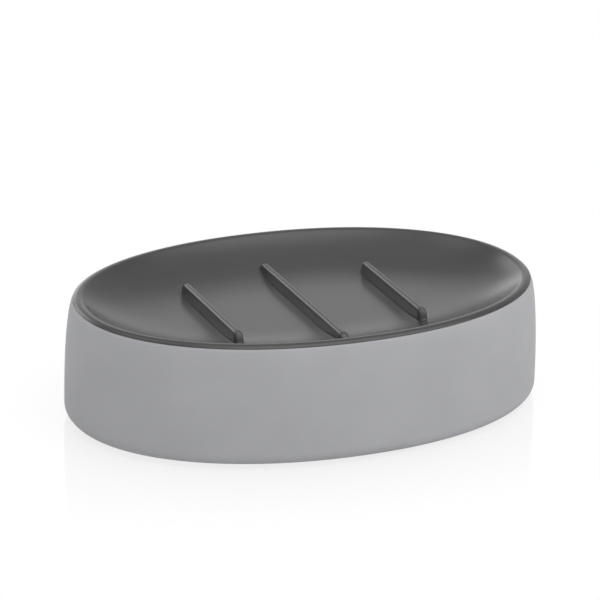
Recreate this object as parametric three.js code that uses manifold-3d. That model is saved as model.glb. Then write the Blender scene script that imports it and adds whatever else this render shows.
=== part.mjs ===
// An oval soap dish in two pieces on four feet: a heavy shell with a soft barrel wall, and a
// ribbed tray that drops into the shell's mouth and lifts out for rinsing.
// Millimetres, +Z up, X along the dish. The origin is the middle of the footprint, on the counter.
import * as THREE from "three";
import { mergeVertices } from "three/addons/utils/BufferGeometryUtils.js";
import Module from "manifold-3d";

const wasm = await Module();
wasm.setup();

// Overall size
const LENGTH = 130;
const WIDTH = 89;
const HEIGHT = 33.5; // counter to the crest of the rim
const OVAL_EXPONENT = 2.1; // 2 is an ellipse, and a little more squares the ends

// Shell
const BOTTOM_ROUND = 3.4; // radius of the edge round the underside
const SHELL_FLOOR = 3.2;
const SHOULDER_HEIGHT = 24.5; // the upper stretch of the wall, which leans in
const SHOULDER_INSET = 2.1; // how far it leans in by the lip
const SHOULDER_TURN = (84 * Math.PI) / 180; // how much of a quarter ellipse it is: 90 degrees would end level
const LIP = 1.2; // width of the shell's top edge, under the tray's brim
const LEDGE = 1.8; // width of the step that carries the tray
const LEDGE_DROP = 2.5; // from the lip down to the step
const INNER_DRAFT = 0.6; // how much the inside narrows towards the floor
const INNER_ROUND = 5; // radius of the inside corner round the floor

// Tray
const BRIM_GAP = 0.12; // hairline between the shell's lip and the tray's brim
const BRIM_EDGE = 0.1; // upright outer edge of the brim
const RIM_ROUND = 2; // radius of the rim's rounded top
const RIM_LEAN = (50 * Math.PI) / 180; // slope of that round at the brim's edge
const ENTRY_ANGLE = (37 * Math.PI) / 180; // slope at which it runs into the bowl
const BOWL_DEPTH = 6.75; // from the end of the round down to the bowl's floor
const BOWL_RUN = 27; // from there in to where the floor is flat
const TRAY_WALL = 2.4;
const SKIRT_DEPTH = 2.2; // how far the tray reaches into the shell's mouth below the step
const SKIRT_WALL = 2;
const FIT_CLEARANCE = 0.3; // between the tray and the shell, all round

// Soap ribs, moulded with the tray
const RIB_PITCH = 26;
const RIB_WIDTH = 2.6;
const RIB_LAND = 0.6; // flat strip on top, where the soap lies
const RIB_HEIGHT = 3.4; // of the middle rib, above the bowl's floor
const RIB_CRADLE = 0.45; // how much higher the outer ribs stand, to suit the soap's round underside
const RIB_ROOT = 0.6; // how deep the ribs' roots go into the tray's wall
const MIDDLE_RIB_LENGTH = 58.5;
const OUTER_RIB_LENGTH = 41;

// Feet
const FOOT_PROUD = 0.7; // how far they lift the shell off the counter
const FOOT_RECESS = 1.4; // how deep they sit in the shell's underside
const FOOT_DIAMETER = 10;
const FOOT_ROUND = 0.4; // radius of the edge that meets the counter
const FOOT_INSET = 17; // from the outline of the dish to the middle of a foot
const FOOT_ANGLE = Math.PI / 4; // round the oval, from the long axis
const FOOT_CLEARANCE = 0.3; // round a foot in its recess

// Facets
const OVAL_SEGMENTS = 72;
const FOOT_SEGMENTS = 24;
const RIB_SEGMENTS = 12;
const ARC_STEPS = 3;
const WELD = 1e-4; // vertices closer than this are one
const CUT_PAST = 1; // how far a cutter runs past the face that it cuts

// Levels
const underside = FOOT_PROUD;
const floorTop = underside + SHELL_FLOOR;
const brimTop = HEIGHT - RIM_ROUND * (1 - Math.cos(RIM_LEAN));
const brimUnder = brimTop - BRIM_EDGE;
const lipTop = brimUnder - BRIM_GAP;
const ledgeTop = lipTop - LEDGE_DROP;

// Radii, all measured on the long axis: the oval keeps the same distances on the short one
const outlineRadius = LENGTH / 2;
const rimRadius = outlineRadius - SHOULDER_INSET;
const lipInner = rimRadius - LIP;
const mouthRadius = lipInner - LEDGE;
const crestRadius = rimRadius - RIM_ROUND * Math.sin(RIM_LEAN);

// The bowl starts where the rim's round ends
const bowlEdge = new THREE.Vector2(
  crestRadius - RIM_ROUND * Math.sin(ENTRY_ANGLE),
  HEIGHT - RIM_ROUND * (1 - Math.cos(ENTRY_ANGLE)),
);
const bowlFloor = new THREE.Vector2(bowlEdge.x - BOWL_RUN, bowlEdge.y - BOWL_DEPTH);
const bowlTurn = new THREE.Vector2(bowlEdge.x - BOWL_DEPTH / Math.tan(ENTRY_ANGLE), bowlFloor.y);

// The oval's half width where its half length is radius. Inside the flat of the bowl's floor it
// shrinks in proportion, so that the rings close on the middle.
function halfWidth(radius) {
  const narrower = (LENGTH - WIDTH) / 2;
  if (radius >= bowlFloor.x) return radius - narrower;
  return (radius * (bowlFloor.x - narrower)) / bowlFloor.x;
}

function ovalPoint(radius, angle) {
  const soften = (value) => Math.sign(value) * Math.abs(value) ** (2 / OVAL_EXPONENT);
  return new THREE.Vector2(radius * soften(Math.cos(angle)), halfWidth(radius) * soften(Math.sin(angle)));
}

// A round turning about +Z of a half section drawn as (radius, height), from the axis to the axis.
function turned(path, segments, startAngle = 0) {
  const geometry = new THREE.LatheGeometry(path.getPoints(ARC_STEPS), segments, startAngle);
  return geometry.rotateX(Math.PI / 2);
}

// The same turning with each round ring pressed into the oval.
function turnedOval(path) {
  const geometry = turned(path, OVAL_SEGMENTS);
  const position = geometry.attributes.position;
  for (let i = 0; i < position.count; i++) {
    const radius = Math.hypot(position.getX(i), position.getY(i));
    const point = ovalPoint(radius, Math.atan2(position.getY(i), position.getX(i)));
    position.setXY(i, point.x, point.y);
  }
  return geometry;
}

// A closed geometry as a solid for joining and cutting.
function solidOf(geometry) {
  geometry.deleteAttribute("normal");
  geometry.deleteAttribute("uv");
  const welded = mergeVertices(geometry, WELD);
  const corners = welded.index.array;
  const triangles = [];
  for (let i = 0; i < corners.length; i += 3) {
    const [a, b, c] = corners.slice(i, i + 3);
    if (a !== b && b !== c && c !== a) triangles.push(a, b, c);
  }
  const vertProperties = welded.attributes.position.array;
  return new wasm.Manifold(
    new wasm.Mesh({ numProp: 3, vertProperties, triVerts: new Uint32Array(triangles) }),
  );
}

function geometryOf(solid) {
  const mesh = solid.getMesh();
  const geometry = new THREE.BufferGeometry();
  geometry.setAttribute("position", new THREE.BufferAttribute(mesh.vertProperties, 3));
  geometry.setIndex(new THREE.BufferAttribute(mesh.triVerts, 1));
  geometry.computeVertexNormals();
  return geometry;
}

// Where the feet sit: one in each quarter of the oval.
const footPlaces = [FOOT_ANGLE, Math.PI - FOOT_ANGLE, Math.PI + FOOT_ANGLE, -FOOT_ANGLE].map((angle) =>
  ovalPoint(outlineRadius - FOOT_INSET, angle),
);
const footNames = ["foot_rear_right", "foot_rear_left", "foot_front_left", "foot_front_right"];

function shellGeometry() {
  const shoulderStart = lipTop - SHOULDER_HEIGHT;
  const leanX = SHOULDER_INSET / (1 - Math.cos(SHOULDER_TURN));
  const leanZ = SHOULDER_HEIGHT / Math.sin(SHOULDER_TURN);
  const innerBottom = mouthRadius - INNER_DRAFT;
  const half = Math.PI / 2;
  const section = new THREE.Path();
  section.moveTo(0, underside);
  section.lineTo(outlineRadius - BOTTOM_ROUND, underside);
  section.absarc(outlineRadius - BOTTOM_ROUND, underside + BOTTOM_ROUND, BOTTOM_ROUND, -half, 0, false);
  section.lineTo(outlineRadius, shoulderStart);
  section.absellipse(outlineRadius - leanX, shoulderStart, leanX, leanZ, 0, SHOULDER_TURN, false, 0);
  section.lineTo(lipInner, lipTop);
  section.lineTo(lipInner, ledgeTop);
  section.lineTo(mouthRadius, ledgeTop);
  section.lineTo(innerBottom, floorTop + INNER_ROUND);
  section.absarc(innerBottom - INNER_ROUND, floorTop + INNER_ROUND, INNER_ROUND, 0, -half, true);
  section.lineTo(0, floorTop);

  let shell = solidOf(turnedOval(section));
  const height = FOOT_RECESS + CUT_PAST;
  for (const place of footPlaces) {
    const radius = FOOT_DIAMETER / 2 + FOOT_CLEARANCE;
    const cutter = new THREE.CylinderGeometry(radius, radius, height, FOOT_SEGMENTS);
    cutter.rotateX(Math.PI / 2);
    cutter.translate(place.x, place.y, underside + FOOT_RECESS - height / 2);
    shell = shell.subtract(solidOf(cutter));
  }
  return geometryOf(shell);
}

// A bar with round ends, its root sunk into the tray's wall, lying across the dish.
function ribGeometry(length, height) {
  const root = bowlFloor.y - RIB_ROOT;
  const top = bowlFloor.y + height;
  const round = (RIB_WIDTH - RIB_LAND) / 2;
  const section = new THREE.Path();
  section.moveTo(0, root);
  section.lineTo(RIB_WIDTH / 2, root);
  section.lineTo(RIB_WIDTH / 2, top - round);
  section.absarc(RIB_LAND / 2, top - round, round, 0, Math.PI / 2, false);
  section.lineTo(0, top);

  // Half a step of turn leaves no column of points on the long axis, so the two halves part cleanly.
  const geometry = turned(section, RIB_SEGMENTS, Math.PI / 2 + Math.PI / RIB_SEGMENTS);
  const position = geometry.attributes.position;
  const stretch = (length - RIB_WIDTH) / 2;
  for (let i = 0; i < position.count; i++) {
    const y = position.getY(i);
    if (Math.abs(y) > WELD) position.setY(i, y + Math.sign(y) * stretch);
  }
  return geometry;
}

const ribs = [
  { x: -RIB_PITCH, length: OUTER_RIB_LENGTH, height: RIB_HEIGHT + RIB_CRADLE },
  { x: 0, length: MIDDLE_RIB_LENGTH, height: RIB_HEIGHT },
  { x: RIB_PITCH, length: OUTER_RIB_LENGTH, height: RIB_HEIGHT + RIB_CRADLE },
];

function trayGeometry() {
  const skirtOuter = mouthRadius - FIT_CLEARANCE;
  const seatOuter = lipInner - FIT_CLEARANCE;
  const skirtBottom = ledgeTop - SKIRT_DEPTH;
  const half = Math.PI / 2;
  const section = new THREE.Path();
  section.moveTo(0, bowlFloor.y - TRAY_WALL);
  section.lineTo(bowlFloor.x, bowlFloor.y - TRAY_WALL);
  section.quadraticCurveTo(bowlTurn.x, bowlTurn.y - TRAY_WALL, skirtOuter - SKIRT_WALL, skirtBottom);
  section.lineTo(skirtOuter, skirtBottom);
  section.lineTo(skirtOuter, ledgeTop);
  section.lineTo(seatOuter, ledgeTop);
  section.lineTo(seatOuter, brimUnder);
  section.lineTo(rimRadius, brimUnder);
  section.lineTo(rimRadius, brimTop);
  section.absarc(crestRadius, HEIGHT - RIM_ROUND, RIM_ROUND, half - RIM_LEAN, half, false);
  section.absarc(crestRadius, HEIGHT - RIM_ROUND, RIM_ROUND, half, half + ENTRY_ANGLE, false);
  section.quadraticCurveTo(bowlTurn.x, bowlTurn.y, bowlFloor.x, bowlFloor.y);
  section.lineTo(0, bowlFloor.y);

  let tray = solidOf(turnedOval(section));
  for (const { x, length, height } of ribs) {
    tray = tray.add(solidOf(ribGeometry(length, height).translate(x, 0, 0)));
  }
  return geometryOf(tray);
}

function footGeometry() {
  const radius = FOOT_DIAMETER / 2;
  const section = new THREE.Path();
  section.moveTo(0, 0);
  section.lineTo(radius - FOOT_ROUND, 0);
  section.absarc(radius - FOOT_ROUND, FOOT_ROUND, FOOT_ROUND, -Math.PI / 2, 0, false);
  section.lineTo(radius, FOOT_PROUD + FOOT_RECESS);
  section.lineTo(0, FOOT_PROUD + FOOT_RECESS);
  return geometryOf(solidOf(turned(section, FOOT_SEGMENTS)));
}

const softGrey = new THREE.MeshStandardMaterial({ color: 0xa3a5a8, roughness: 0.75, metalness: 0 });
const satinCharcoal = new THREE.MeshStandardMaterial({ color: 0x555556, roughness: 0.4, metalness: 0 });
const footRubber = new THREE.MeshStandardMaterial({ color: 0x2b2b2c, roughness: 0.9, metalness: 0 });

function piece(name, geometry, material) {
  const mesh = new THREE.Mesh(geometry, material);
  mesh.name = name;
  return mesh;
}

const soapDish = new THREE.Group();
soapDish.add(piece("outer_shell", shellGeometry(), softGrey));
soapDish.add(piece("soap_tray", trayGeometry(), satinCharcoal));
footPlaces.forEach((place, i) => {
  const foot = piece(footNames[i], footGeometry(), footRubber);
  foot.position.set(place.x, place.y, 0);
  soapDish.add(foot);
});

export default soapDish;
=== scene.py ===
# %% [markdown]
# # An oval soap dish
# The dish is a heavy grey shell, a charcoal tray that drops into its mouth, and four small rubber
# pads that it stands on. All of it is smooth and plain, so the looks rest on three things: clean
# curves, the way each finish takes the light, and the fine line where the two mouldings meet.
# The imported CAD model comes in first. It says where each piece is and what it rides on, and every
# mesh below is drawn over it in the same frame, in metres.

# %% The frame
import math

import bmesh
import bpy
import numpy as np
from mathutils import Matrix, Vector


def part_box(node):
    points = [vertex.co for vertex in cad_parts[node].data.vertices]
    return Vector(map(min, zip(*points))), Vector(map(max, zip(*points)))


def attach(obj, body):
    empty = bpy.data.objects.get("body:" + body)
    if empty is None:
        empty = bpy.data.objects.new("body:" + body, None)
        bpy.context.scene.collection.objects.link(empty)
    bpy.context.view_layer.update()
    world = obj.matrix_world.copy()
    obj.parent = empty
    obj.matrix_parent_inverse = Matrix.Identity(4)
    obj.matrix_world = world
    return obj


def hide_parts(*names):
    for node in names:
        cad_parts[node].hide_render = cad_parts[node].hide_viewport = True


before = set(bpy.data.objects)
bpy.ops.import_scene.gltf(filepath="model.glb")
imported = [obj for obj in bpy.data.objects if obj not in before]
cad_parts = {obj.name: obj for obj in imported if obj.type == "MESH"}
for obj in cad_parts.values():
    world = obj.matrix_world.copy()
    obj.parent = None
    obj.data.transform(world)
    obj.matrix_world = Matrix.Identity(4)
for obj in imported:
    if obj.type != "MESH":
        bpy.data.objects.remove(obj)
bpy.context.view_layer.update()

# %% [markdown]
# ## Sizes
# The boxes of the CAD pieces give the overall sizes and the main levels. The rest, such as the
# radius of a round, can't be read from a box, so it is a named value in millimetres times MM.
# A radius here is always measured on the long axis. On the short axis the oval is narrower by the
# same amount everywhere, so walls and gaps keep their thickness all the way round.

# %% Sizes of the shell and the tray
MM = 0.001
shell_low, shell_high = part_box("outer_shell")
tray_low, tray_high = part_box("soap_tray")

OUTLINE = shell_high.x
NARROWER = shell_high.x - shell_high.y
UNDERSIDE = shell_low.z
LIP_TOP = shell_high.z
RIM = tray_high.x
CREST = tray_high.z
OVAL_EXPONENT = 2.1

LIP = 1.2 * MM
LEDGE = 1.8 * MM
LEDGE_DROP = 2.5 * MM
FIT_CLEARANCE = 0.3 * MM
lip_inner = RIM - LIP
mouth = lip_inner - LEDGE
ledge_top = LIP_TOP - LEDGE_DROP

RIM_ROUND = 2 * MM
RIM_LEAN = math.radians(50)
ENTRY_ANGLE = math.radians(37)
BOWL_DEPTH = 6.75 * MM
BOWL_RUN = 27 * MM
crest_radius = RIM - RIM_ROUND * math.sin(RIM_LEAN)
bowl_edge = crest_radius - RIM_ROUND * math.sin(ENTRY_ANGLE)
bowl_top = CREST - RIM_ROUND * (1 - math.cos(ENTRY_ANGLE))
bowl_floor = bowl_top - BOWL_DEPTH
floor_edge = bowl_edge - BOWL_RUN

print(f"outline {OUTLINE / MM:.1f} mm, rim {RIM / MM:.1f} mm, crest at {CREST / MM:.1f} mm")
print(f"bowl edge {bowl_edge / MM:.2f} mm, bowl floor at {bowl_floor / MM:.2f} mm")

# %% [markdown]
# ## The oval
# The outline is a touch squarer than an ellipse. Raising a circle's cosine and sine to a power just
# below one gives that curve. An ellipse would do at a glance, but its ends look too pointed beside
# the real dish. Inside the flat of the bowl's floor the rings shrink in proportion, so that they
# close on the middle.

# %% Oval rings
def half_width(radius):
    """The oval's reach on the short axis, where it reaches radius on the long one."""
    inside = radius * (floor_edge - NARROWER) / floor_edge
    return np.where(radius >= floor_edge, radius - NARROWER, inside)


def soften(values):
    """Turns a circle's cosine or sine into that of the squarer oval."""
    return np.sign(values) * np.abs(values) ** (2 / OVAL_EXPONENT)


def oval_ring(radius, height, angles):
    """One ring of points, a row for each point."""
    x = radius * soften(np.cos(angles))
    y = half_width(radius) * soften(np.sin(angles))
    return np.column_stack([x, y, np.full(len(angles), height)])


def arc(centre, reach, start, end, steps):
    """Points of an arc in a section drawn as (radius, height). The angles are in degrees."""
    turns = np.radians(np.linspace(start, end, steps + 1))
    return [(centre[0] + reach[0] * math.cos(t), centre[1] + reach[1] * math.sin(t)) for t in turns]


def corner(radius, height, size, start, end):
    """A small round of the given size, about a centre at (radius, height)."""
    return arc((radius, height), (size, size), start, end, steps=4)


print("half width of the outline:", round(float(half_width(OUTLINE)) / MM, 2), "mm")

# %% [markdown]
# ## Skins from rings
# Most of the dish is a section carried round the oval, so a mesh is rows of points with a skin of
# quads between them. A Screw modifier could only turn a circle, and a curve bevel would pinch at the
# ends. Rings of our own keep every wall at its true thickness, and they leave the open ends free for
# other work, such as the recesses under the shell.

# %% From rings to objects
SHARP = math.radians(40)


def skin(sheet, rows):
    """Adds rows of vertices to a bmesh, closed round, and the quads between them."""
    made = [[sheet.verts.new(point) for point in row] for row in rows]
    for below, above in zip(made, made[1:]):
        for j in range(len(below)):
            k = (j + 1) % len(below)
            sheet.faces.new((below[j], below[k], above[k], above[j]))
    return made


def loop_edges(sheet, row):
    """The edges round a closed row of vertices."""
    return [sheet.edges.get((here, there)) for here, there in zip(row, row[1:] + row[:1])]


def make_object(name, sheet, *materials):
    """Turns a bmesh into a smooth object whose faces point out."""
    bmesh.ops.recalc_face_normals(sheet, faces=sheet.faces)
    for face in sheet.faces:
        face.smooth = True
    mesh = bpy.data.meshes.new(name)
    sheet.to_mesh(mesh)
    sheet.free()
    mesh.set_sharp_from_angle(angle=SHARP)
    for material in materials:
        mesh.materials.append(material)
    made = bpy.data.objects.new(name, mesh)
    bpy.context.scene.collection.objects.link(made)
    print(f"{name}: {len(mesh.vertices)} points, {len(mesh.polygons)} faces")
    return made


# %% [markdown]
# ## Writing shaders as sums
# Node trees are easier to read as arithmetic. A Wire holds one socket, and adding or multiplying
# wires puts in the Math nodes. Its add method brings in any other node by type, with settings first
# and sockets after, so each finish below is a few plain lines.

# %% The wire
MIX_A, MIX_B, MIX_RESULT = 6, 7, 2


class Wire:
    """A socket of a node tree that Python's operators can work on."""

    def __init__(self, tree, socket=None):
        self.tree = tree
        self.socket = socket

    def add(self, kind, settings=None, inputs=None, output=0):
        """Brings in a node and gives back the wire of one of its outputs."""
        node = self.tree.nodes.new(kind)
        for name, value in (settings or {}).items():
            setattr(node, name, value)
        for name, value in (inputs or {}).items():
            if isinstance(value, Wire):
                self.tree.links.new(value.socket, node.inputs[name])
            else:
                node.inputs[name].default_value = value
        return Wire(self.tree, node.outputs[output] if node.outputs else None)

    def work(self, operation, left, right):
        return self.add("ShaderNodeMath", {"operation": operation}, {0: left, 1: right})

    def __add__(self, other):
        return self.work("ADD", self, other)

    def __radd__(self, other):
        return self.work("ADD", other, self)

    def __sub__(self, other):
        return self.work("SUBTRACT", self, other)

    def __rsub__(self, other):
        return self.work("SUBTRACT", other, self)

    def __mul__(self, other):
        return self.work("MULTIPLY", self, other)

    def __rmul__(self, other):
        return self.work("MULTIPLY", other, self)

    def blend(self, first, second):
        """The first colour where this wire is 0, the second where it is 1."""
        inputs = {0: self, MIX_A: first, MIX_B: second}
        return self.add("ShaderNodeMix", {"data_type": "RGBA"}, inputs, MIX_RESULT)

    def spread(self, low, high):
        """Stretches the wire so that low becomes 0 and high becomes 1, with soft ends."""
        inputs = {"Value": self, "From Min": low, "From Max": high}
        return self.add("ShaderNodeMapRange", {"interpolation_type": "SMOOTHSTEP"}, inputs)


def grey(level, warmth=0.0):
    """A grey as a colour socket takes it. Warmth moves it towards red, or below 0 towards blue."""
    return (level * (1 + warmth), level, level * (1 - warmth), 1)


def start_material(name):
    """An empty node material, with the wire that its nodes start from."""
    material = bpy.data.materials.new(name)
    material.use_nodes = True
    material.node_tree.nodes.clear()
    return material, Wire(material.node_tree)


def noise(wires, scale, detail=2.0):
    """Noise fixed to the piece. The scale is in lumps a metre."""
    place = wires.add("ShaderNodeTexCoord", output="Object")
    return wires.add("ShaderNodeTexNoise", None, {"Vector": place, "Scale": scale, "Detail": detail}, "Fac")


def surface(wires, sockets, height, depth):
    """A Principled finish with a fine bump of the given depth, led to the material's output."""
    bump = wires.add("ShaderNodeBump", None, {"Height": height, "Distance": depth})
    shader = wires.add("ShaderNodeBsdfPrincipled", None, {**sockets, "Normal": bump})
    wires.add("ShaderNodeOutputMaterial", None, {"Surface": shader})


# %% [markdown]
# ## Finishes
# The shell wears a soft-touch coat: a matte grey with a faint cool cast and a grain too fine to
# count, which is why it has no highlight and only a slow change of tone. Under the tray the casting
# is left bare, so it is paler, chalkier and speckled. The tray is satin: dark, but smooth enough to
# mirror a bright wall at a low angle, so most of its tone is reflection and its roughness matters
# more than its colour. The pads are black rubber.

# %% Soft-touch coat
def soft_touch_coat():
    material, wires = start_material("soft_touch_coat")
    clouds = noise(wires, 70, 3)
    grain = noise(wires, 2600, 3)
    tone = clouds.spread(0.25, 0.75).blend((0.347, 0.349, 0.364, 1), (0.367, 0.369, 0.385, 1))
    sockets = {"Base Color": tone, "Roughness": 0.56 + 0.12 * grain}
    surface(wires, sockets, grain, 0.02 * MM)
    return material


def bare_casting():
    material, wires = start_material("bare_casting")
    speckle = noise(wires, 1900, 4)
    clouds = noise(wires, 45, 3)
    body = clouds.blend(grey(0.40, 0.01), grey(0.47, 0.02))
    tone = speckle.spread(0.62, 0.72).blend(body, grey(0.24, 0.02))
    sockets = {"Base Color": tone, "Roughness": 0.78 + 0.1 * clouds}
    surface(wires, sockets, speckle, 0.06 * MM)
    return material


# %% Satin charcoal and rubber
def satin_charcoal():
    material, wires = start_material("satin_charcoal")
    clouds = noise(wires, 55, 3)
    grain = noise(wires, 3200, 2)
    tone = clouds.spread(0.3, 0.7).blend(grey(0.031, 0.01), grey(0.035, 0.014))
    sockets = {"Base Color": tone, "Roughness": 0.19 + 0.05 * grain + 0.03 * clouds}
    surface(wires, sockets, grain, 0.008 * MM)
    return material


def pad_rubber():
    material, wires = start_material("pad_rubber")
    grain = noise(wires, 2200, 3)
    tone = grain.blend(grey(0.016), grey(0.034))
    sockets = {"Base Color": tone, "Roughness": 0.7 + 0.2 * grain}
    surface(wires, sockets, grain, 0.05 * MM)
    return material


coat, casting, charcoal, rubber = soft_touch_coat(), bare_casting(), satin_charcoal(), pad_rubber()
print("finishes:", [m.name for m in (coat, casting, charcoal, rubber)])

# %% [markdown]
# ## The shell
# Seen from the side the wall is straight at the foot, then leans in more and more up to the tray's
# brim, so the shoulder is most of a quarter of a tall narrow ellipse. Inside there is a lip that
# centres the tray, a step that carries it, and a smooth cup below. The underside is flat with four
# round recesses for the pads. A boolean could cut those, but filling the flat face round four rings
# of points leaves a cleaner mesh.

# %% Shell section
SHELL_COLUMNS = 256
BOTTOM_ROUND = 3.4 * MM
SHELL_FLOOR = 3.2 * MM
SHOULDER_HEIGHT = 24.5 * MM
SHOULDER_TURN = 84
INNER_DRAFT = 0.6 * MM
INNER_ROUND = 5 * MM
EDGE = 0.25 * MM


def shell_sections():
    """The coated outside, from the underside to the lip, and the bare inside, down to the floor."""
    foot_height = UNDERSIDE + BOTTOM_ROUND
    shoulder = LIP_TOP - SHOULDER_HEIGHT
    lean_x = (OUTLINE - RIM) / (1 - math.cos(math.radians(SHOULDER_TURN)))
    lean_z = SHOULDER_HEIGHT / math.sin(math.radians(SHOULDER_TURN))
    outside = arc((OUTLINE - BOTTOM_ROUND, foot_height), (BOTTOM_ROUND, BOTTOM_ROUND), -90, 0, steps=14)
    outside += [(OUTLINE, height) for height in np.linspace(foot_height, shoulder, 4)[1:-1]]
    outside += arc((OUTLINE - lean_x, shoulder), (lean_x, lean_z), 0, SHOULDER_TURN, steps=30)
    outside += corner(lip_inner + EDGE, LIP_TOP - EDGE, EDGE, 90, 180)

    floor_top = UNDERSIDE + SHELL_FLOOR
    bottom = mouth - INNER_DRAFT
    inside = corner(lip_inner - EDGE, ledge_top + EDGE, EDGE, 0, -90)
    inside += corner(mouth + EDGE, ledge_top - EDGE, EDGE, 90, 180)
    cup_corner = (bottom - INNER_ROUND, floor_top + INNER_ROUND)
    inside += arc(cup_corner, (INNER_ROUND, INNER_ROUND), 0, -90, steps=12)
    return outside, inside


# %% The shell, with its pad recesses
PAD_CLEARANCE = 0.3 * MM
PAD_COLUMNS = 64
pad_nodes = sorted(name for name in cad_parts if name.startswith("foot_"))


def round_ring(centre, radius, height):
    """A round ring of points about an upright axis."""
    turns = np.linspace(0, 2 * math.pi, PAD_COLUMNS, endpoint=False)
    x = centre.x + radius * np.cos(turns)
    y = centre.y + radius * np.sin(turns)
    return np.column_stack([x, y, np.full(PAD_COLUMNS, height)])


def pad_recess(sheet, node):
    """Sinks one recess into the underside and gives back the edges of its mouth."""
    low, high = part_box(node)
    centre = (low + high) / 2
    radius = (high.x - low.x) / 2 + PAD_CLEARANCE
    section = corner(radius + EDGE, UNDERSIDE + EDGE, EDGE, -90, -180) + [(radius, high.z)]
    rows = skin(sheet, [round_ring(centre, *point) for point in section])
    sheet.faces.new(rows[-1])
    return loop_edges(sheet, rows[0])


def make_shell():
    outside, inside = shell_sections()
    angles = np.linspace(0, 2 * math.pi, SHELL_COLUMNS, endpoint=False)
    sheet = bmesh.new()
    rows = skin(sheet, [oval_ring(*point, angles) for point in outside + inside])
    sheet.faces.new(rows[-1])
    bare = {vertex for row in rows[len(outside):] for vertex in row}
    for face in sheet.faces:
        if bare.issuperset(face.verts):
            face.material_index = 1
    rims = loop_edges(sheet, rows[0])
    for node in pad_nodes:
        rims += pad_recess(sheet, node)
    bmesh.ops.triangle_fill(sheet, use_beauty=True, edges=rims)
    return make_object("soft_touch_shell", sheet, coat, casting)


shell = make_shell()
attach(shell, "shell")
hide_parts("outer_shell")

# %% [markdown]
# ## The pads
# Each pad is a moulded rubber disc with a rounded edge and a shallow dish in its sole, so that it
# grips with a ring. The pads are all alike, so one section is turned about each pad's own axis.

# %% Rubber pads
PAD_EDGE = 0.4 * MM
PAD_DISH = 0.2 * MM
PAD_SOLE = 1.2 * MM


def make_pad(node):
    low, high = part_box(node)
    radius = (high.x - low.x) / 2
    sole_inner = radius - PAD_EDGE - PAD_SOLE
    section = corner(sole_inner, low.z + PAD_DISH, PAD_DISH, 180, 270)
    section += corner(radius - PAD_EDGE, low.z + PAD_EDGE, PAD_EDGE, -90, 0)
    section += corner(radius - PAD_DISH, high.z - PAD_DISH, PAD_DISH, 0, 90)
    sheet = bmesh.new()
    rows = skin(sheet, [round_ring((low + high) / 2, *point) for point in section])
    sheet.faces.new(rows[0])
    sheet.faces.new(rows[-1])
    pad = make_object(node.replace("foot", "pad"), sheet, rubber)
    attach(pad, "shell")
    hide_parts(node)


for node in pad_nodes:
    make_pad(node)

# %% [markdown]
# ## The bowl and its ribs
# The bowl is a height above each point of its plan: a wall that enters at 37 degrees and eases into
# a flat floor. The ribs stand on that floor. Each has a round top, steep sides with a little draft,
# and noses that run down at its ends. Separate bars joined by a boolean would leave hard creases at
# the roots, so the ribs are part of the same height.

# %% Height of the bowl
HALVINGS = 40


def bowl_radius(x, y):
    """The radius of the bowl's ring through a point, or of the floor's edge for a point inside it."""
    low = np.full(np.shape(x), floor_edge)
    high = np.full(np.shape(x), OUTLINE)
    for _ in range(HALVINGS):
        middle = (low + high) / 2
        reach = np.abs(x / middle) ** OVAL_EXPONENT + np.abs(y / half_width(middle)) ** OVAL_EXPONENT
        low = np.where(reach > 1, middle, low)
        high = np.where(reach > 1, high, middle)
    return (low + high) / 2


def bowl_height(x, y):
    """The bowl's wall is a curve with one control point, below its edge and level with the floor."""
    inward = np.clip(bowl_edge - bowl_radius(x, y), 0, BOWL_RUN)
    entry = BOWL_DEPTH / math.tan(ENTRY_ANGLE)
    step = inward / (entry + np.sqrt(entry**2 + (BOWL_RUN - 2 * entry) * inward))
    return bowl_floor + BOWL_DEPTH * (1 - step) ** 2


print("bowl floor:", round(float(bowl_height(0.0, 0.0)) / MM, 2), "mm up")

# %% Height of the ribs
RIB_PITCH = 26 * MM
RIB_WIDTH = 2.6 * MM
RIB_HEIGHT = 3.4 * MM
RIB_CRADLE = 0.45 * MM
RIB_LAND = 0.1 * MM
RIB_SHOULDER = 1.12 * MM
RIB_ROOT = 0.12 * MM
RIB_DRAFT = 3
NOSE_RUN = 2.2 * MM
NOSE_STEPS = 12
MIDDLE_RIB_LENGTH = 58.5 * MM
OUTER_RIB_LENGTH = 41 * MM
rib_places = [-RIB_PITCH, 0, RIB_PITCH]


def rib_section():
    """Half a rib's section, from the middle of its land to the floor: distances out, and heights."""
    lean = math.radians(RIB_DRAFT)
    shoulder_centre = (RIB_LAND / 2, RIB_HEIGHT - RIB_SHOULDER)
    shoulder = arc(shoulder_centre, (RIB_SHOULDER, RIB_SHOULDER), 90, RIB_DRAFT, steps=6)
    side_top = shoulder[-1]
    side_drop = side_top[1] - RIB_ROOT * (1 - math.sin(lean))
    root_centre = side_top[0] + side_drop * math.tan(lean) + RIB_ROOT * math.cos(lean)
    root = arc((root_centre, RIB_ROOT), (RIB_ROOT, RIB_ROOT), 180 + RIB_DRAFT, 270, steps=7)
    points = np.array([(0, RIB_HEIGHT), *shoulder, *root])
    return points[:, 0], points[:, 1]


rib_out, rib_up = rib_section()


def rib_reach(place):
    """How far a rib's level top runs from the long axis, up to where its nose starts."""
    length = OUTER_RIB_LENGTH if place else MIDDLE_RIB_LENGTH
    return length / 2 - NOSE_RUN


def rib_top(place):
    """The level of a rib's top. The outer ribs stand a little higher, to cradle the soap."""
    return bowl_floor + RIB_HEIGHT + (RIB_CRADLE if place else 0)


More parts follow.
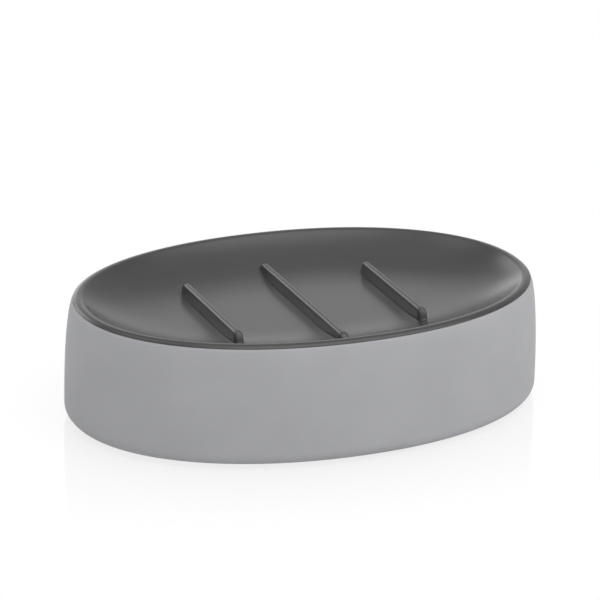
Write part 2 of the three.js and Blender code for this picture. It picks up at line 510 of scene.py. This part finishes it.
def tray_height(x, y):
    """The bowl, raised to the ribs' level tops."""
    floor = bowl_height(x, y)
    height = floor
    for place in rib_places:
        beyond = np.clip((np.abs(y) - rib_reach(place)) / NOSE_RUN, 0, None)
        rounded = np.maximum(beyond * NOSE_RUN - NOSE_RUN + RIB_WIDTH / 2, 0)
        share = np.interp(np.hypot(x - place, rounded), rib_out, rib_up) / RIB_HEIGHT
        share = share * np.clip(1 - beyond**2, 0, 1)
        height = np.maximum(height, floor + (rib_top(place) - floor) * share)
    return height


print("rib reaches:", [round(rib_reach(place) / MM, 1) for place in rib_places], "mm")

# %% [markdown]
# ## A grid that suits the ribs
# A height is only as good as the grid it is drawn on. The middle of the tray is a rectangle whose
# lines run exactly through the points of the ribs' sections, so the steep sides stay crisp with few
# faces. Round the rectangle, layers of quads ease its outline into the oval of the bowl's edge.

# %% Grid lines
LINE_GAP = 1.4 * MM
LINE_MERGE = 0.07 * MM
PATCH_MARGIN = 1 * MM


def grid_lines(values):
    """Sorted lines, with close ones merged and wide gaps filled."""
    lines = []
    for value in sorted(values):
        if lines and value - lines[-1] < LINE_MERGE:
            continue
        if lines:
            parts = math.ceil((value - lines[-1]) / LINE_GAP)
            lines += list(np.linspace(lines[-1], value, parts + 1)[1:-1])
        lines.append(value)
    return np.array(lines)


def patch_lines():
    """The lines across and along the patch that holds the ribs."""
    across = [place + side * out for place in rib_places for out in rib_out for side in (-1, 1)]
    across += [min(across) - PATCH_MARGIN, max(across) + PATCH_MARGIN]
    nose = np.linspace(0, NOSE_RUN, NOSE_STEPS + 1)
    along = [rib_reach(place) + out for place in rib_places for out in nose]
    along = [0, *along, max(along) + PATCH_MARGIN]
    along += [-value for value in along]
    return grid_lines(across), grid_lines(along)


patch_x, patch_y = patch_lines()
print("patch:", len(patch_x), "by", len(patch_y), "lines")

# %% [markdown]
# ## The tray
# From the bowl's edge the skin goes on over the rim, one small round that ends at the brim's edge just
# above the shell's lip. Then come the seat that rests on the step, a short skirt that keeps the tray
# central, and the underside. A hairline is left under the brim, as on the real dish.

# %% Tray section
BRIM_GAP = 0.12 * MM
TRAY_WALL = 2.4 * MM
SKIRT_DEPTH = 2.2 * MM
SKIRT_WALL = 2 * MM
BRIM_BREAK = 0.04 * MM


def underside_curve(start, steps):
    """The bowl's underside, from the skirt's foot in to the flat of the floor."""
    turn = (bowl_edge - BOWL_DEPTH / math.tan(ENTRY_ANGLE), bowl_floor - TRAY_WALL)
    end = (floor_edge, bowl_floor - TRAY_WALL)
    points = []
    for t in np.linspace(0, 1, steps + 1):
        weights = ((1 - t) ** 2, 2 * t * (1 - t), t**2)
        points.append(tuple(np.dot(weights, (start, turn, end))))
    return points


def rim_section():
    """Over the rim and down to the underside's flat, from just past the bowl's edge."""
    brim_under = LIP_TOP + BRIM_GAP
    seat = lip_inner - FIT_CLEARANCE
    skirt = mouth - FIT_CLEARANCE
    skirt_bottom = ledge_top - SKIRT_DEPTH
    rim_centre = (crest_radius, CREST - RIM_ROUND)
    inner_end = 90 + math.degrees(ENTRY_ANGLE)
    outer_end = 90 - math.degrees(RIM_LEAN)
    section = arc(rim_centre, (RIM_ROUND, RIM_ROUND), inner_end, 90, steps=14)[1:]
    section += arc(rim_centre, (RIM_ROUND, RIM_ROUND), 90, outer_end, steps=14)[1:]
    section += corner(RIM - BRIM_BREAK, brim_under + BRIM_BREAK, BRIM_BREAK, 0, -90)
    section += [(seat, brim_under)]
    section += corner(seat - EDGE, ledge_top + EDGE, EDGE, 0, -90)
    section += [(skirt, ledge_top)]
    section += corner(skirt - EDGE, skirt_bottom + EDGE, EDGE, 0, -90)
    section += underside_curve((skirt - SKIRT_WALL, skirt_bottom), steps=18)
    return section


# %% The tray
WALL_LAYERS = 26
WELD = 0.001 * MM


def patch_border(grid):
    """A grid's outer vertices, in order round it."""
    right = [row[-1] for row in grid[:-1]]
    left = [row[0] for row in grid[:0:-1]]
    return [*grid[0][:-1], *right, *grid[-1][:0:-1], *left]


def make_tray():
    sheet = bmesh.new()
    x, y = np.meshgrid(patch_x, patch_y)
    heights = tray_height(x, y)
    grid = [[sheet.verts.new(point) for point in zip(*row)] for row in zip(x, y, heights)]
    for below, above in zip(grid, grid[1:]):
        for j in range(len(below) - 1):
            sheet.faces.new((below[j], below[j + 1], above[j + 1], above[j]))

    border = patch_border(grid)
    start = np.array([vertex.co for vertex in border])
    angles = np.arctan2(start[:, 1] / float(half_width(bowl_edge)), start[:, 0] / bowl_edge)
    edge = oval_ring(bowl_edge, bowl_top, angles)
    layers = []
    for t in np.linspace(0, 1, WALL_LAYERS + 1):
        layer = start + (edge - start) * t
        layer[:, 2] = tray_height(layer[:, 0], layer[:, 1])
        layers.append(layer)
    rim = [oval_ring(*point, angles) for point in rim_section()]
    rows = skin(sheet, layers + rim)
    sheet.faces.new(rows[-1])
    bmesh.ops.remove_doubles(sheet, verts=border + rows[0], dist=WELD)
    return make_object("satin_tray", sheet, charcoal)


tray = make_tray()
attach(tray, "tray")
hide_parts("soap_tray")

# %% [markdown]
# ## Camera
# The photograph is taken with a long lens from well back, a little above the dish and round to its
# left, and it leans by about a degree. The dish sits below the middle of the frame. Turning the
# camera up a little puts it there, which keeps the lens free of shift for the other views.

# %% Camera
CAMERA_AZIMUTH = -22.71
CAMERA_ELEVATION = 21.27
CAMERA_ROLL = 1.23
CAMERA_DISTANCE = 1110 * MM
CAMERA_LEVEL = 17.35 * MM
LENS = 249.9
AIM_ABOVE = 10.75 * MM
AIM_LEFT = 0.71 * MM


def heading(azimuth, elevation):
    """The way out from the dish at angles in degrees. Azimuth 0 is the front, and 90 the right."""
    turn = math.radians(azimuth)
    rise = math.radians(elevation)
    return Vector((math.sin(turn) * math.cos(rise), -math.cos(turn) * math.cos(rise), math.sin(rise)))


def make_camera():
    back = heading(CAMERA_AZIMUTH, CAMERA_ELEVATION)
    level = heading(CAMERA_AZIMUTH + 90, 0)
    right = Matrix.Rotation(math.radians(CAMERA_ROLL), 3, back) @ level
    up = back.cross(right)
    middle = Vector((0, 0, CAMERA_LEVEL))
    aim = middle + up * AIM_ABOVE - right * AIM_LEFT
    place = middle + back * CAMERA_DISTANCE
    axis = (place - aim).normalized()
    across = up.cross(axis).normalized()
    turn = Matrix((across, axis.cross(across), axis)).transposed()
    data = bpy.data.cameras.new("camera")
    data.lens = LENS
    camera = bpy.data.objects.new("camera", data)
    camera.matrix_world = Matrix.Translation(place) @ turn.to_4x4()
    bpy.context.scene.collection.objects.link(camera)
    bpy.context.scene.camera = camera
    return camera


camera = make_camera()
print("camera at", [round(value, 3) for value in camera.matrix_world.translation])

# %% [markdown]
# ## Light
# A white studio: an even surround with a few soft panels painted on it. The large key panel is high in
# front, and a smaller one low on the right lifts that end of the wall. Two weaker ones, overhead and
# high on the left, fill in. The tray mirrors what is low behind it: one panel there gives the floor its
# tone, one draws the ribs' crests, and one lies along the right end as a soft sheen. Area lamps would
# do the same, but a panel in the world has no edge to show up in the satin and costs no noise. The
# world is white to the camera itself, so the background is white without any more light on the dish.

# %% World
SURROUND = 0.6
PANELS = {
    "key": {"azimuth": 30, "elevation": 60, "core": 12, "edge": 42, "level": 1.58},
    "right": {"azimuth": 60, "elevation": 32, "core": 5, "edge": 22, "level": 1.4},
    "ceiling": {"azimuth": 0, "elevation": 90, "core": 14, "edge": 46, "level": 0.45},
    "high_left": {"azimuth": -120, "elevation": 60, "core": 5, "edge": 22, "level": 0.75},
    "low_rear": {"azimuth": 160, "elevation": 15, "core": 6, "edge": 26, "level": 0.42},
    "rear_left": {"azimuth": -160, "elevation": 22, "core": 5, "edge": 20, "level": 1.8},
    "rear_right": {"azimuth": 176, "elevation": 8, "core": 4, "edge": 15, "level": 0.8},
}


def soft_panel(wires, direction, azimuth, elevation, core, edge, level):
    """The light of one round panel: full within core degrees of its middle, none past edge degrees."""
    inputs = {0: direction, 1: heading(azimuth, elevation)}
    facing = wires.add("ShaderNodeVectorMath", {"operation": "DOT_PRODUCT"}, inputs, "Value")
    return level * facing.spread(math.cos(math.radians(edge)), math.cos(math.radians(core)))


def make_world():
    world = bpy.data.worlds.new("studio")
    world.use_nodes = True
    world.node_tree.nodes.clear()
    wires = Wire(world.node_tree)
    direction = wires.add("ShaderNodeTexCoord", output="Generated")
    light = SURROUND
    for panel in PANELS.values():
        light = light + soft_panel(wires, direction, **panel)
    seen = wires.add("ShaderNodeLightPath", output="Is Camera Ray")
    light = light + seen * (1 - light)
    shader = wires.add("ShaderNodeBackground", None, {"Color": grey(1), "Strength": light})
    wires.add("ShaderNodeOutputWorld", None, {"Surface": shader})
    bpy.context.scene.world = world


make_world()
bpy.context.scene.view_settings.view_transform = "Standard"
print("panels:", sorted(PANELS))

# %% [markdown]
# ## Floor
# A pale glossy sheet that shows the soft shadow under the dish and a faint mirror image of its wall.
# Both fade with distance to the white of the background, so no horizon shows. Seen from below the sheet
# is clear, and it has a hole under the dish, out of sight, through which light reaches the underside.
# That lets the underside be looked at too.

# %% Floor
FLOOR_HALF = 3.0
FADE_END = 40 * MM
NEAR_WHITE = 0.84
MIRRORED = 0.09
SEEN_HOLE = (0.84, 0.88)
LIGHT_HOLE = (0.98, 1.03)


def floor_material():
    """The sheet's finish. Its hole ends softly, between two shares of the dish's outline.

    The hole that lets light through is wider than the one that the camera sees.
    """
    material, wires = start_material("pale_sheet")
    place = wires.add("ShaderNodeTexCoord", output="Object")
    scaled = wires.add(
        "ShaderNodeVectorMath",
        {"operation": "MULTIPLY"},
        {0: place, 1: (1 / shell_high.x, 1 / shell_high.y, 0)},
    )
    reach = wires.add("ShaderNodeVectorMath", {"operation": "LENGTH"}, {0: scaled}, "Value")
    away = (reach - 1) * shell_high.y
    lit = 1 - away.spread(0, FADE_END)
    white = 1 - (1 - NEAR_WHITE) * lit
    pale = {"Base Color": grey(0.92), "Roughness": 0.08, "IOR": 1.5}
    near = wires.add("ShaderNodeBsdfPrincipled", None, pale)
    far = wires.add("ShaderNodeEmission", None, {"Color": grey(1), "Strength": 1.0})
    seen = wires.add("ShaderNodeLightPath", output="Is Camera Ray")
    sheet = wires.add("ShaderNodeMixShader", None, {0: seen * white, 1: near, 2: far})
    mirror = wires.add("ShaderNodeBsdfGlossy", None, {"Color": grey(1), "Roughness": 0.04})
    top = wires.add("ShaderNodeMixShader", None, {0: seen * lit * MIRRORED, 1: sheet, 2: mirror})
    clear = wires.add("ShaderNodeBsdfTransparent")
    front = 1 - wires.add("ShaderNodeNewGeometry", output="Backfacing")
    solid = front * (seen * reach.spread(*SEEN_HOLE) + (1 - seen) * reach.spread(*LIGHT_HOLE))
    mixed = wires.add("ShaderNodeMixShader", None, {0: solid, 1: clear, 2: top})
    wires.add("ShaderNodeOutputMaterial", None, {"Surface": mixed})
    return material


def make_floor():
    sheet = bmesh.new()
    bmesh.ops.create_grid(sheet, x_segments=1, y_segments=1, size=FLOOR_HALF)
    floor = make_object("floor", sheet, floor_material())


make_floor()

# %% [markdown]
# ## Finish
# The view layer is brought up to date. The dressed dish has to stay inside the box of the CAD
# model.

# %% Finish
bpy.context.view_layer.update()
